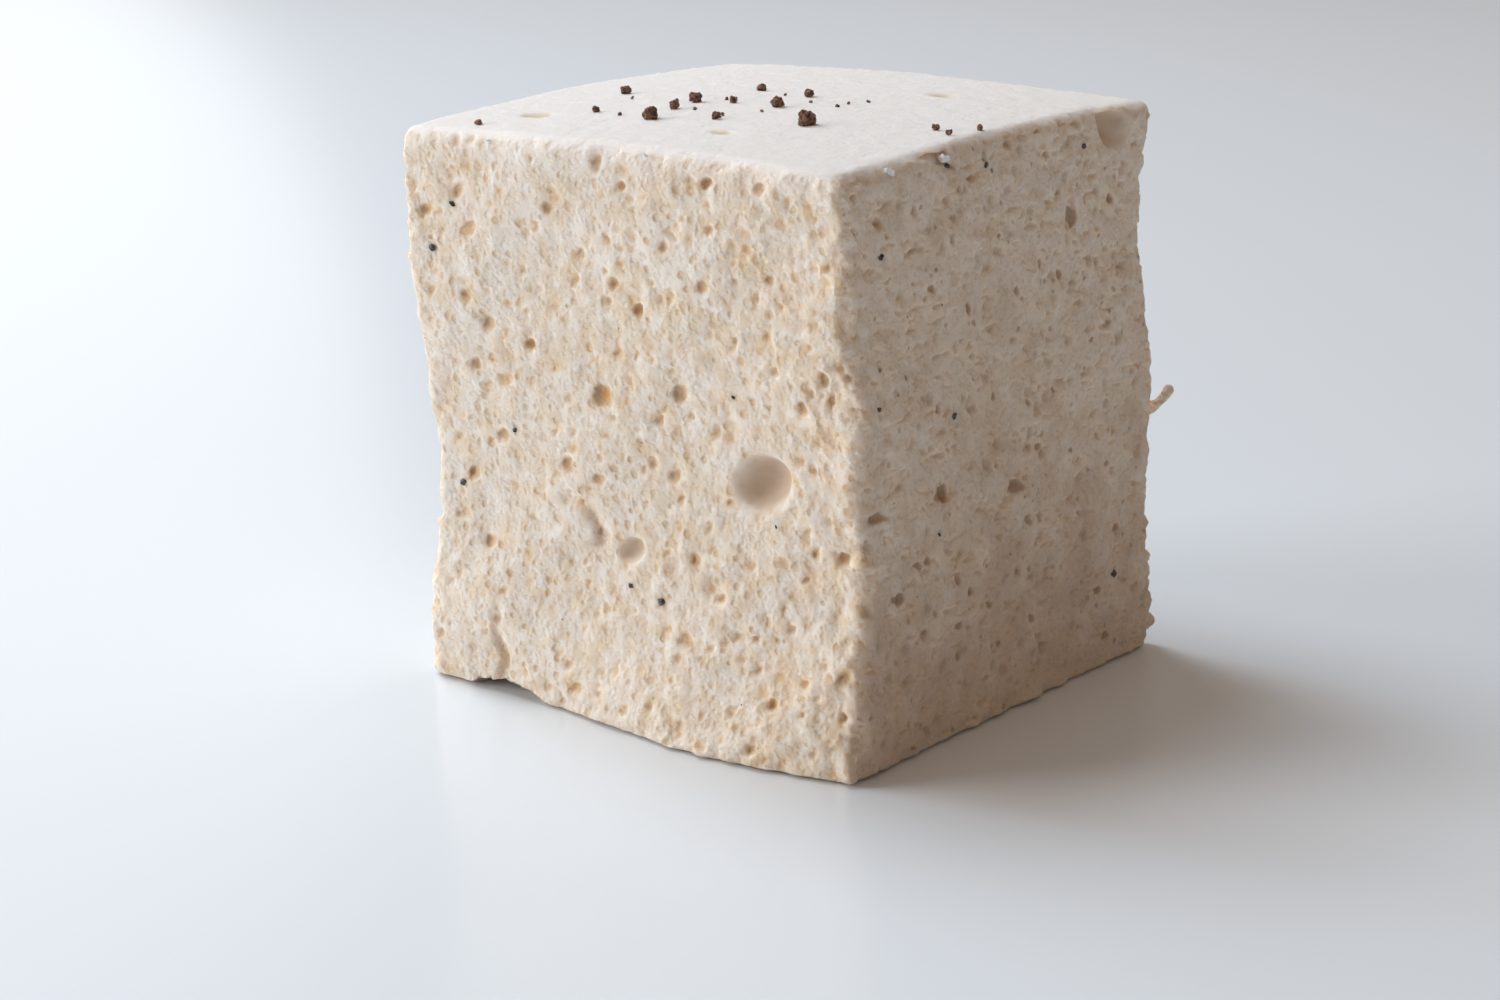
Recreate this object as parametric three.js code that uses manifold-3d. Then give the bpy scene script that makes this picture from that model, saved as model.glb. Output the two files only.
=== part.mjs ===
// A hand-cut coffee marshmallow: one soft aerated block, standing on its flat underside.
// A smooth domed skin covers the top, and four knife-cut sides show the foam: a waisted, slightly
// leaning wall, burst bubbles, torn crumbs along the corners and an arch under the front foot.
// Coarse coffee grounds stick to the skin and are fused to it.
// Millimetres, +Z up, origin at the middle of the underside. The open-pored cut faces -Y.

import * as THREE from "three";
import { mergeVertices } from "three/addons/utils/BufferGeometryUtils.js";
import Module from "manifold-3d";

// ---- driving dimensions ----
const WIDTH = 34.2; // along X
const DEPTH = 31.1; // along Y
const HEIGHT = 35.2; // at the corners of the top
const DOME = 0.5; // rise of the skin at the middle of each top edge, and twice that at its centre
const TOP_ROUND = 1.0; // radius of the skin's edge
const SIDE_ROUND = 0.9; // radius of the upright corners
const FOOT_ROUND = 0.35; // radius of the bottom edge
const CORNER_INSET = SIDE_ROUND * (1 - Math.SQRT1_2); // from a sharp upright corner in to the round one
const GRID = 16; // divisions along each side of the block
const EDGE_CROWDING = 0.45; // how far the divisions gather towards the edges, 0 to 1
const MIDDLE = { x: 0.41, y: -0.42 }; // of the whole outline, crumbs and foot included: becomes the origin

// How far each upright corner leaves its straight line, as [height, along X, along Y].
const CORNER_LEANS = {
  leftFront: [
    [0, 0, 0], [3.5, 0, 0], [12, 0.7, 0.7], [20, 0.5, 0.5], [28, -0.1, -0.1], [HEIGHT, -0.2, -0.2],
  ],
  rightFront: [
    [0, 0.4, -0.1], [5, 0.45, 0.4], [12, 0.7, 0.8], [19, 0.6, 0.6], [27, 0.2, 0.2], [HEIGHT, 0, 0],
  ],
  rightBack: [
    [0, 0.2, 0.1], [5, 0.3, 0.2], [12, 0.4, 0.3], [18, 0.1, 0.1], [26, -0.2, -0.2], [HEIGHT, 0.2, 0.2],
  ],
  leftBack: [
    [0, 0.1, 0], [5, 0.3, -0.2], [12, 0.9, -0.6], [20, 0.7, -0.5], [28, 0.4, -0.2], [HEIGHT, 0.3, 0.2],
  ],
};
const DOME_FROM = 0.3; // share of the height where the walls start to rise with the skin
const WAVE_FADE = 2.5; // height over which the waves fade to nothing at the flat underside

// The foot of the front wall spreads outwards between its corners.
const FLARE = { x: 6.5, out: 1.7, halfWidth: 10, height: 4 };

// Long soft waves over the cut walls: [size, radians per mm along X, Y and Z, phase].
const WAVES = [
  [0.13, 0.24, 0.21, 0.33, 0.4],
  [0.09, -0.43, 0.47, 0.31, 2.1],
  [0.06, 0.71, 0.59, -0.62, 4.0],
];

// Burst bubbles that stand out: side, place along it, height, half width, half height, depth of its centre
// below the wall (below 0 for a shallow dish), and fineness.
const BUBBLES = [
  { side: "front", along: 9.9, up: 16.6, wide: 2.4, high: 1.7, sunk: 0.1, fine: 4 }, // the great bubble
  { side: "front", along: -2.2, up: 20.2, wide: 0.85, high: 0.75, sunk: 0.45, fine: 2 }, // the deep one
  { side: "front", along: -0.6, up: 11.0, wide: 1.4, high: 1.1, sunk: -0.25, fine: 3 },
  { side: "front", along: -4.8, up: 12.0, wide: 1.2, high: 1.5, sunk: -0.3, fine: 2 },
  { side: "front", along: 15.3, up: 12.9, wide: 1.2, high: 1.2, sunk: -0.3, fine: 2 },
  { side: "front", along: 15.9, up: 6.2, wide: 0.8, high: 0.8, sunk: 0, fine: 1 },
  { side: "front", along: -11.7, up: 29.2, wide: 1.0, high: 0.6, sunk: 0.1, fine: 1 },
  { side: "front", along: -10.1, up: 20.2, wide: 1.0, high: 0.6, sunk: 0, fine: 1 },
  { side: "front", along: 7.5, up: 33.7, wide: 0.6, high: 0.5, sunk: 0.1, fine: 1 },
  { side: "right", along: 11.3, up: 33.5, wide: 1.5, high: 1.0, sunk: -0.1, fine: 2 }, // bites the top corner
  { side: "right", along: 6.3, up: 29.0, wide: 0.75, high: 0.65, sunk: 0.15, fine: 2 },
  { side: "right", along: -0.2, up: 14.2, wide: 1.1, high: 0.6, sunk: 0, fine: 1 },
  { side: "right", along: -8.1, up: 15.6, wide: 0.8, high: 0.6, sunk: -0.1, fine: 1 },
  { side: "right", along: -12.0, up: 10.1, wide: 0.6, high: 0.5, sunk: 0.1, fine: 1 },
  { side: "right", along: -14.2, up: 15.5, wide: 1.1, high: 0.7, sunk: -0.1, fine: 1 },
  { side: "right", along: -6.8, up: 34.8, wide: 1.3, high: 0.9, sunk: -0.15, fine: 1 }, // chips the skin
];

// Round pits that open the cut sides: [along, up, radius].
const PITS = {
  front: [
    [-4.9, 31.0, 0.5], [-2.6, 28.6, 0.45], [-12.0, 25.2, 0.55], [-10.7, 23.5, 0.55], [-10.7, 16.6, 0.6],
    [-7.6, 22.6, 0.5], [6.8, 27.7, 0.5], [1.6, 25.6, 0.5], [3.8, 21.1, 0.6], [6.5, 19.1, 0.5],
    [11.3, 33.8, 0.5],
  ],
  right: [
    [5.7, 25.8, 0.5], [1.0, 25.7, 0.45], [4.2, 19.1, 0.55], [-2.0, 20.0, 0.45], [1.0, 11.9, 0.5],
    [9.0, 5.4, 0.5],
  ],
  back: [],
  left: [],
};

// Shallow dents in the skin: [x, y, half length along X, half width along Y, how deep].
const SKIN_DENTS = [
  [-10.4, -10.3, 1.2, 0.9, 0.35],
  [4.2, -10.2, 0.9, 0.5, 0.25],
  [7.5, 7.0, 1.0, 0.8, 0.25],
];

const DENT_SPREAD = 1.3; // half sizes of the lens that cuts a dent, over those of its mouth

// The arch under the front foot, and the crease above it: centre, half sizes along X, Y and Z, and fineness.
const ARCH = { at: [-10.1, -15.6, 0], half: [3.3, 2.6, 0.85], fine: 2 };
const CREASE = { at: [-10.6, -15.3, 2.4], half: [0.4, 0.7, 2.5], fine: 1 };

// Small bubbles drawn at random on every cut side.
const PORE_SEED = 20131;
const PORE_TRIES = 150; // throws for each side
const PORES = { front: 20, right: 18, back: 22, left: 22 }; // kept at most on each side
const PORE_SMALL = 0.42; // smallest radius
const PORE_SPREAD = 0.5; // added at most to it
const PORE_GAP = 0.9; // least wall between two mouths
const PORE_MARGIN = 1.8; // kept from the sides' edges
const PORE_SUNK = 0.1; // centre below the wall, as a share of the radius

// Torn crumbs that stand off the upright corners: the corner as signs along X and Y, height, how far their
// centre is out of the corner, half length, half thickness, turn about Z, and tilt up.
const CRUMBS = [
  { corner: [1, 1], z: 16.2, out: 0.4, long: 1.0, thick: 0.3, turn: 0.2, tilt: 0.7 }, // sticks up
  { corner: [1, 1], z: 24.7, out: 0.1, long: 0.5, thick: 0.35, turn: 0.7, tilt: 0.1 },
  { corner: [1, 1], z: 10.6, out: 0.1, long: 0.45, thick: 0.35, turn: 0.9, tilt: 0.1 },
  { corner: [1, 1], z: 6.0, out: 0.25, long: 0.65, thick: 0.35, turn: 0.5, tilt: 0.2 },
  { corner: [1, 1], z: 1.6, out: 0, long: 0.7, thick: 0.6, turn: 0.8, tilt: -0.2 },
  { corner: [-1, -1], z: 10.2, out: 0.2, long: 0.5, thick: 0.35, turn: 0.6, tilt: 0.1 },
  { corner: [-1, -1], z: 27.1, out: 0, long: 0.5, thick: 0.5, turn: 0.6, tilt: 0.2 },
  { corner: [1, -1], z: 13.0, out: -0.2, long: 0.8, thick: 0.6, turn: 2.4, tilt: 0.4 },
  { corner: [-1, 1], z: 17.0, out: 0.1, long: 0.6, thick: 0.4, turn: 2.4, tilt: 0.3 },
  { corner: [-1, 1], z: 7.5, out: 0, long: 0.7, thick: 0.5, turn: 2.4, tilt: 0.5 },
];

// Coffee grounds on the skin: the coarse ones as [x, y, radius], then finer ones drawn at random among them.
const COARSE_GROUNDS = [
  [7.2, -6.0, 0.64], [-2.3, -9.0, 0.56], [2.0, -2.5, 0.5], [-3.6, -3.4, 0.46], [-3.2, -5.8, 0.42],
  [-10.4, -2.2, 0.38], [1.4, -7.4, 0.34], [1.2, 1.5, 0.36], [-2.9, 2.0, 0.34], [-1.3, -2.6, 0.3],
  [-7.2, -8.4, 0.28], [14.1, -2.9, 0.28], [16.1, -1.2, 0.25], [15.5, -3.5, 0.23], [-11.9, -13.7, 0.25],
];
const FINE_GROUNDS = 12;
const FINE_GROUND_RADIUS = 0.24;
const GROUND_PATCH = { x: -0.5, y: -4, halfWidth: 8, halfDepth: 6 };
const GROUND_SEED = 977;
const GROUND_GAP = 0.35; // least clear skin between two grains
const GROUND_LIFT = 0.55; // a grain's centre above the skin, as a share of its radius
const GROUND_LEAST = [0.95, 0.8, 0.85]; // its three half sizes, as shares of its radius
const GROUND_MORE = [0.3, 0.3, 0]; // added to them at most

const wasm = await Module();
wasm.setup();

// The same short random sequence on every run, each value from 0 to 1.
function makeRandom(seed) {
  let state = seed;
  return () => {
    state = (state * 16807) % 2147483647;
    return state / 2147483647;
  };
}

// A closed geometry as a solid that can be joined and cut.
function solidOf(geometry) {
  const bare = geometry.clone();
  bare.deleteAttribute("normal");
  bare.deleteAttribute("uv");
  const merged = mergeVertices(bare, 1e-4);
  return new wasm.Manifold(
    new wasm.Mesh({
      numProp: 3,
      vertProperties: new Float32Array(merged.attributes.position.array),
      triVerts: new Uint32Array(merged.index.array),
    }),
  );
}

function geometryOf(solid) {
  const mesh = solid.getMesh();
  const geometry = new THREE.BufferGeometry();
  geometry.setAttribute("position", new THREE.BufferAttribute(mesh.vertProperties, 3));
  geometry.setIndex(new THREE.BufferAttribute(mesh.triVerts, 1));
  geometry.computeVertexNormals();
  return geometry;
}

// ---- the block ----

// A corner's [dx, dy] at a height, on a smooth line through its stations.
function leanAt(stations, z) {
  const above = stations.findIndex(([height]) => height > z);
  const upper = above < 0 ? stations.length - 1 : Math.max(1, above);
  const [z0, x0, y0] = stations[upper - 1];
  const [z1, x1, y1] = stations[upper];
  const t = THREE.MathUtils.clamp((z - z0) / (z1 - z0), 0, 1);
  const s = t * t * (3 - 2 * t);
  return [x0 + (x1 - x0) * s, y0 + (y1 - y0) * s];
}

function waveAt(x, y, z) {
  let sum = 0;
  for (const [size, kx, ky, kz, phase] of WAVES) sum += size * Math.sin(kx * x + ky * y + kz * z + phase);
  return sum;
}

// Where a point of the plain box, x and y from its axis and z from its underside, lies on the real block.
function shaped(x, y, z) {
  const u = x / (WIDTH / 2);
  const v = y / (DEPTH / 2);
  const weights = {
    leftFront: (1 - u) * (1 - v),
    rightFront: (1 + u) * (1 - v),
    rightBack: (1 + u) * (1 + v),
    leftBack: (1 - u) * (1 + v),
  };
  let dx = 0;
  let dy = 0;
  for (const [corner, weight] of Object.entries(weights)) {
    const [leanX, leanY] = leanAt(CORNER_LEANS[corner], z);
    dx += (weight / 4) * leanX;
    dy += (weight / 4) * leanY;
  }
  const flare =
    FLARE.out *
    Math.exp(-(((x - FLARE.x) / FLARE.halfWidth) ** 2) - (z / FLARE.height) ** 2) *
    THREE.MathUtils.smoothstep(-v, 0.2, 1) *
    (1 - Math.abs(u) ** 8);
  const rise = THREE.MathUtils.smoothstep(z / HEIGHT, DOME_FROM, 1) * DOME * (2 - u * u - v * v);
  const wall = Math.max(Math.abs(u), Math.abs(v)) ** 4 * THREE.MathUtils.smoothstep(z, 0, WAVE_FADE);
  const wave = waveAt(x, y, z) * wall;
  return new THREE.Vector3(x + dx + wave * u, y + dy - flare + wave * v, z + rise);
}

// Takes a point of the sharp box in to its rounded edges, each kind of edge with its own radius.
function rounded(x, y, z) {
  const round = z > HEIGHT / 2 ? TOP_ROUND : FOOT_ROUND;
  const insetX = THREE.MathUtils.clamp(x, -WIDTH / 2 + SIDE_ROUND, WIDTH / 2 - SIDE_ROUND);
  const insetY = THREE.MathUtils.clamp(y, -DEPTH / 2 + SIDE_ROUND, DEPTH / 2 - SIDE_ROUND);
  const insetZ = THREE.MathUtils.clamp(z, round, HEIGHT - round);
  const out = new THREE.Vector3((x - insetX) / SIDE_ROUND, (y - insetY) / SIDE_ROUND, (z - insetZ) / round);
  if (out.length() > 1) out.normalize();
  return [insetX + out.x * SIDE_ROUND, insetY + out.y * SIDE_ROUND, insetZ + out.z * round];
}

function gathered(t) {
  return t * (1 - EDGE_CROWDING) + Math.sin((t * Math.PI) / 2) * EDGE_CROWDING;
}

function block() {
  const geometry = new THREE.BoxGeometry(2, 2, 2, GRID, GRID, GRID);
  const place = geometry.attributes.position;
  for (let i = 0; i < place.count; i++) {
    const x = (gathered(place.getX(i)) * WIDTH) / 2;
    const y = (gathered(place.getY(i)) * DEPTH) / 2;
    const z = ((gathered(place.getZ(i)) + 1) * HEIGHT) / 2;
    const point = shaped(...rounded(x, y, z));
    place.setXYZ(i, point.x, point.y, point.z);
  }
  return solidOf(geometry);
}

// ---- what is cut from it and what stands off it ----

// The cut sides: the point of one by its place along it and its height, its way out, and half its length.
const SIDES = {
  front: { at: (along, up) => shaped(along, -DEPTH / 2, up), out: [0, -1, 0], half: WIDTH / 2 },
  right: { at: (along, up) => shaped(WIDTH / 2, along, up), out: [1, 0, 0], half: DEPTH / 2 },
  back: { at: (along, up) => shaped(along, DEPTH / 2, up), out: [0, 1, 0], half: WIDTH / 2 },
  left: { at: (along, up) => shaped(-WIDTH / 2, along, up), out: [-1, 0, 0], half: DEPTH / 2 },
};

// A lump or a bubble: an icosahedron with the given half sizes.
function lump(fine, centre, halfSizes, turn = new THREE.Euler()) {
  const geometry = new THREE.IcosahedronGeometry(1, fine);
  const matrix = new THREE.Matrix4().compose(centre, new THREE.Quaternion().setFromEuler(turn), halfSizes);
  return solidOf(geometry.applyMatrix4(matrix));
}

// A bubble cut open by a side: wide across it, high up it, round in depth.
function bubbleOn(side, along, up, wide, high, sunk, fine, spin = 0) {
  const { at } = SIDES[side];
  const out = new THREE.Vector3(...SIDES[side].out);
  const centre = at(along, up).addScaledVector(out, -sunk);
  const deep = Math.min(wide, high);
  const halfSizes = out.x ? new THREE.Vector3(deep, wide, high) : new THREE.Vector3(wide, deep, high);
  return lump(fine, centre, halfSizes, new THREE.Euler(spin * out.x, spin * out.y, 0));
}

function namedBubbles() {
  return BUBBLES.map((b) => bubbleOn(b.side, b.along, b.up, b.wide, b.high, b.sunk, b.fine));
}

// A coarse round pore, turned so that no two look alike.
function pore(side, [along, up, radius], spin) {
  return bubbleOn(side, along, up, radius, radius, radius * PORE_SUNK, 0, spin);
}

function pits() {
  return Object.entries(PITS).flatMap(([side, places]) => places.map((place, i) => pore(side, place, i)));
}

// Pores thrown at each side, and kept where they miss the ones already there.
function randomPores() {
  const random = makeRandom(PORE_SEED);
  const pores = [];
  for (const [side, { half }] of Object.entries(SIDES)) {
    const bubbles = BUBBLES.filter((bubble) => bubble.side === side);
    const taken = [...PITS[side], ...bubbles.map((b) => [b.along, b.up, Math.max(b.wide, b.high)])];
    let kept = 0;
    for (let i = 0; i < PORE_TRIES && kept < PORES[side]; i++) {
      const along = (random() * 2 - 1) * (half - PORE_MARGIN);
      const up = PORE_MARGIN + random() * (HEIGHT - 2 * PORE_MARGIN);
      const draw = random();
      const radius = PORE_SMALL + PORE_SPREAD * draw * draw;
      const spin = random() * Math.PI;
      const clear = taken.every(([a, h, r]) => Math.hypot(a - along, h - up) > r + radius + PORE_GAP);
      if (!clear) continue;
      taken.push([along, up, radius]);
      pores.push(pore(side, [along, up, radius], spin));
      kept += 1;
    }
  }
  return pores;
}

// Each dent is the tip of a lens that stands half its length high.
function skinDents() {
  return SKIN_DENTS.map(([x, y, halfLength, halfWidth, deep]) => {
    const high = halfLength / 2;
    const centre = shaped(x, y, HEIGHT).add(new THREE.Vector3(0, 0, high - deep));
    return lump(1, centre, new THREE.Vector3(halfLength * DENT_SPREAD, halfWidth * DENT_SPREAD, high));
  });
}

function footCuts() {
  const cut = ({ at, half, fine }) => lump(fine, new THREE.Vector3(...at), new THREE.Vector3(...half));
  return [cut(ARCH), cut(CREASE)];
}

function crumbs() {
  return CRUMBS.map(({ corner: [right, back], z, out, long, thick, turn, tilt }) => {
    const x = right * (WIDTH / 2 - CORNER_INSET);
    const y = back * (DEPTH / 2 - CORNER_INSET);
    const centre = shaped(x, y, z).add(new THREE.Vector3(right, back, 0).multiplyScalar(out * Math.SQRT1_2));
    return lump(0, centre, new THREE.Vector3(long, thick, thick), new THREE.Euler(0, -tilt, turn, "ZYX"));
  });
}

// A rough grain of ground coffee, sunk a little into the skin.
function ground(x, y, radius, random) {
  const centre = shaped(x, y, HEIGHT).add(new THREE.Vector3(0, 0, radius * GROUND_LIFT));
  const shares = GROUND_LEAST.map((least, i) => least + GROUND_MORE[i] * random());
  const halfSizes = new THREE.Vector3(...shares).multiplyScalar(radius);
  const turns = [random(), random(), random()].map((draw) => draw * Math.PI);
  return lump(0, centre, halfSizes, new THREE.Euler(...turns));
}

function grounds() {
  const random = makeRandom(GROUND_SEED);
  const placed = [...COARSE_GROUNDS];
  while (placed.length < COARSE_GROUNDS.length + FINE_GROUNDS) {
    const x = GROUND_PATCH.x + (random() * 2 - 1) * GROUND_PATCH.halfWidth;
    const y = GROUND_PATCH.y + (random() * 2 - 1) * GROUND_PATCH.halfDepth;
    const reach = FINE_GROUND_RADIUS + GROUND_GAP;
    const clear = placed.every(([px, py, r]) => Math.hypot(px - x, py - y) > r + reach);
    if (clear) placed.push([x, y, FINE_GROUND_RADIUS]);
  }
  return placed.map(([x, y, radius]) => ground(x, y, radius, random));
}

function marshmallow() {
  let solid = block();
  for (const crumb of crumbs()) solid = solid.add(crumb);
  for (const hole of [...namedBubbles(), ...pits(), ...randomPores()]) solid = solid.subtract(hole);
  for (const cut of [...skinDents(), ...footCuts()]) solid = solid.subtract(cut);
  for (const grain of grounds()) solid = solid.add(grain);
  return geometryOf(solid).translate(-MIDDLE.x, -MIDDLE.y, 0);
}

const foam = new THREE.MeshStandardMaterial({ color: 0xe6d6c2, roughness: 0.9, metalness: 0 });
const marshmallowMesh = new THREE.Mesh(marshmallow(), foam);
marshmallowMesh.name = "marshmallow";

const part = new THREE.Group();
part.add(marshmallowMesh);

export default part;
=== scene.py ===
"""A hand-cut coffee marshmallow with coffee grounds on its skin, on a pale table.

The foam block is modelled in millimetres from the same sizes as its solid, and taken to metres last.
"""

import math

import bpy
import numpy as np
from mathutils import Euler, Matrix, Vector


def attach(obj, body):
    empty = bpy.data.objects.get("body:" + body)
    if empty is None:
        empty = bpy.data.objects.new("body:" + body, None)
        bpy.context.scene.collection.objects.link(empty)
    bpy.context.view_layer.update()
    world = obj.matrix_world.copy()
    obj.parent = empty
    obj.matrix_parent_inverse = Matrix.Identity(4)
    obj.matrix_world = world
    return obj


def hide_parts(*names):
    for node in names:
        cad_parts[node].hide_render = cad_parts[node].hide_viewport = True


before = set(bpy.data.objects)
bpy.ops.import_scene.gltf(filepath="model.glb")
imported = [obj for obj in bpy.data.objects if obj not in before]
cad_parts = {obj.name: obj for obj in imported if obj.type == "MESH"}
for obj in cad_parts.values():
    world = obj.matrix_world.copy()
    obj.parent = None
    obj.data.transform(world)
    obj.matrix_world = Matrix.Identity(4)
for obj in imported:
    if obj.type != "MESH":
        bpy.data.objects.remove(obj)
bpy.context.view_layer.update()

MM = 0.001

# ---- the block's sizes, in mm, as its solid has them ----
WIDTH = 34.2  # along X
DEPTH = 31.1  # along Y
HEIGHT = 35.2  # at the corners of the top
DOME = 0.5  # rise of the skin at the middle of each top edge, and twice that at its centre
TOP_ROUND = 1.0
SIDE_ROUND = 0.9
FOOT_ROUND = 0.35
DIAGONAL = math.sqrt(0.5)
CORNER_INSET = SIDE_ROUND * (1 - DIAGONAL)
MIDDLE = Vector((0.41, -0.42, 0))  # of the whole outline: the solid's origin
DOME_FROM = 0.3  # of the height, from where the dome's rise comes in
WAVE_FADE = 2.5  # above the foot, where the waves are whole

# How far each upright corner leaves its straight line, as (height, along X, along Y).
CORNER_LEANS = {
    (-1, -1): (
        (0, 0, 0), (3.5, 0, 0), (12, 0.7, 0.7), (20, 0.5, 0.5), (28, -0.1, -0.1), (HEIGHT, -0.2, -0.2),
    ),
    (1, -1): (
        (0, 0.4, -0.1), (5, 0.45, 0.4), (12, 0.7, 0.8), (19, 0.6, 0.6), (27, 0.2, 0.2), (HEIGHT, 0, 0),
    ),
    (1, 1): (
        (0, 0.2, 0.1), (5, 0.3, 0.2), (12, 0.4, 0.3), (18, 0.1, 0.1), (26, -0.2, -0.2), (HEIGHT, 0.2, 0.2),
    ),
    (-1, 1): (
        (0, 0.1, 0), (5, 0.3, -0.2), (12, 0.9, -0.6), (20, 0.7, -0.5), (28, 0.4, -0.2), (HEIGHT, 0.3, 0.2),
    ),
}

# The front foot's flare, and the long waves of the sides as (size, along X, along Y, along Z, phase).
FLARE = {"x": 6.5, "out": 1.7, "half_width": 10, "height": 4}
WAVES = ((0.13, 0.24, 0.21, 0.33, 0.4), (0.09, -0.43, 0.47, 0.31, 2.1), (0.06, 0.71, 0.59, -0.62, 4.0))

# Burst bubbles: side, place along it, height, half width, half height, depth of the centre below the wall.
BOWLS = (
    ("front", 9.85, 16.75, 1.95, 1.58, 0.15),
    ("front", -0.6, 11.0, 0.98, 0.85, 0.05),
    ("right", 11.3, 34.1, 1.6, 1.35, -0.15),
)
BUBBLE_LEAN = {"front": 0.27, "right": -0.27, "back": 0.1, "left": -0.1}  # of its mouth
TEARS = (
    ("front", -2.2, 20.2, 0.85, 0.75, 0.3),
    ("front", 15.6, 13.1, 0.6, 0.5, -0.1),
    ("front", 15.9, 6.2, 0.7, 0.6, 0),
    ("front", -11.7, 29.2, 0.8, 0.55, 0),
    ("front", -10.1, 20.2, 0.8, 0.55, 0),
    ("front", 7.5, 33.7, 0.42, 0.42, 0.8),
    ("front", -15.3, 30.2, 0.5, 0.45, 0.25),
    ("right", 6.8, 29.1, 0.6, 0.6, 0.1),
    ("right", -0.2, 14.2, 0.95, 0.5, 0),
    ("right", -8.1, 15.6, 0.8, 0.6, -0.1),
    ("right", -12.0, 10.1, 0.5, 0.45, 0.1),
    ("right", -14.2, 15.5, 0.95, 0.45, -0.1),
    ("right", -6.8, 35.0, 1.3, 0.7, -0.35),
)
# A bubble that closed again: a raised clot with a groove round its far side.
CLOSED = {"along": -4.9, "up": 11.8, "half_width": 1.9, "half_height": 1.7, "rise": 0.2, "groove": 0.34}
CLOT_EDGE = 0.85  # of the closed bubble's reach
GROOVE_REACH = 0.95
GROOVE_WIDTH = 0.2

# Pits that the solid has, as (place along, height, radius).
PITS = {
    "front": (
        (-4.9, 31.0, 0.5), (-2.6, 28.6, 0.45), (-12.0, 25.2, 0.55), (-10.7, 23.5, 0.55), (-10.7, 16.6, 0.6),
        (-7.6, 22.6, 0.5), (6.8, 27.7, 0.5), (1.6, 25.6, 0.5), (3.8, 21.1, 0.6), (6.5, 19.1, 0.5),
        (11.3, 33.8, 0.5),
    ),
    "right": (
        (5.7, 25.8, 0.4), (1.0, 25.7, 0.35), (4.2, 19.1, 0.4), (-2.0, 20.0, 0.35), (1.0, 11.9, 0.3),
        (9.0, 5.4, 0.35),
    ),
    "back": (),
    "left": (),
}

# Pores thrown at each side, as the solid's are.
PORE_SEED = 20131
PORE_TRIES = 150
PORES = {"front": 20, "right": 18, "back": 22, "left": 22}
PORE_SMALL = 0.42
PORE_SPREAD = 0.5
PORE_GAP = 0.9
PORE_MARGIN = 1.8
PORE_SUNK = 0.1
PORE_SIZE = {"front": 0.75, "right": 0.45, "back": 0.6, "left": 0.75}  # of each thrown pore, as finished

# Small pits, as (place along, height, radius), which the solid leaves out.
SMALL_PITS = {
    "front": (
        (-9.5, 30.9, 0.28), (-6.3, 26.0, 0.27), (5.0, 25.7, 0.24), (0.8, 29.2, 0.3), (-8.9, 20.8, 0.3),
        (9.1, 29.3, 0.25), (10.0, 29.8, 0.25), (2.5, 28.7, 0.2), (5.0, 30.2, 0.27), (-5.6, 33.9, 0.28),
        (1.0, 23.1, 0.38), (2.2, 22.9, 0.33), (8.6, 24.4, 0.35), (3.6, 22.4, 0.3), (-14.9, 28.5, 0.3),
        (3.5, 14.7, 0.42), (13.7, 18.0, 0.3), (16.3, 21.4, 0.28), (5.8, 12.2, 0.27), (11.5, 23.5, 0.38),
        (10.3, 22.7, 0.26), (-4.6, 17.7, 0.35), (0.8, 14.2, 0.35), (-4.0, 8.4, 0.3), (-5.6, 9.3, 0.28),
        (-2.5, 7.2, 0.25), (14.4, 6.6, 0.35), (16.0, 3.9, 0.35), (9.5, 7.4, 0.35), (5.6, 5.5, 0.3),
        (-4.1, 1.8, 0.4), (-2.2, 1.8, 0.35), (11.0, 7.5, 0.28), (7.9, 6.1, 0.25), (14.1, 4.7, 0.3),
    ),
    "right": (
        (-5.0, 32.6, 0.33), (-9.0, 32.2, 0.25), (-11.6, 31.1, 0.28), (0.6, 29.7, 0.22), (-6.0, 24.9, 0.24),
        (-3.3, 24.6, 0.24), (-4.0, 23.5, 0.26), (4.7, 22.7, 0.24), (-11.4, 28.7, 0.24), (-9.1, 27.9, 0.22),
        (-7.5, 28.1, 0.22), (12.1, 30.9, 0.25), (-8.0, 26.8, 0.25), (8.1, 25.6, 0.24), (-9.0, 21.3, 0.26),
        (2.5, 16.0, 0.3), (-1.9, 15.8, 0.27), (-9.4, 11.8, 0.35), (-5.1, 8.9, 0.25), (-5.7, 4.9, 0.33),
        (-8.2, 8.2, 0.26), (6.4, 11.9, 0.25), (1.7, 18.8, 0.3), (-3.9, 21.4, 0.22), (9.3, 15.3, 0.25),
    ),
}

# Smaller pores thrown between them, which the solid leaves out too.
SMALL_SEED = 4409
SMALL_TRIES = {"front": 190, "right": 70, "back": 90, "left": 160}
SMALL_LEAST = 0.22
SMALL_SPREAD = 0.24
SMALL_SIZE = {"front": 1, "right": 0.62, "back": 0.7, "left": 0.95}  # as a share of the sizes above
SMALL_TALL_LEAST = 0.85  # of a small pore's half width
SMALL_TALL_SPREAD = 0.5
SMALL_GAP = 0.2
SMALL_MARGIN = 0.9

# Shallow dents in the skin, as (x, y, half length, half width, depth).
SKIN_DENTS = ((-10.4, -10.3, 1.2, 0.9, 0.18), (4.2, -10.2, 0.9, 0.5, 0.14), (7.5, 7.0, 1.0, 0.8, 0.15))

# The arch under the front foot, as an ellipsoid's middle and half sizes, and the crease above it.
ARCH = ((-10.1, -15.6, 0), (3.3, 2.6, 0.85))
CREASE = {"x": -10.3, "z": 2.4, "half_width": 0.5, "half_height": 2.8, "deep": 0.55, "reach": 2.5}

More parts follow.
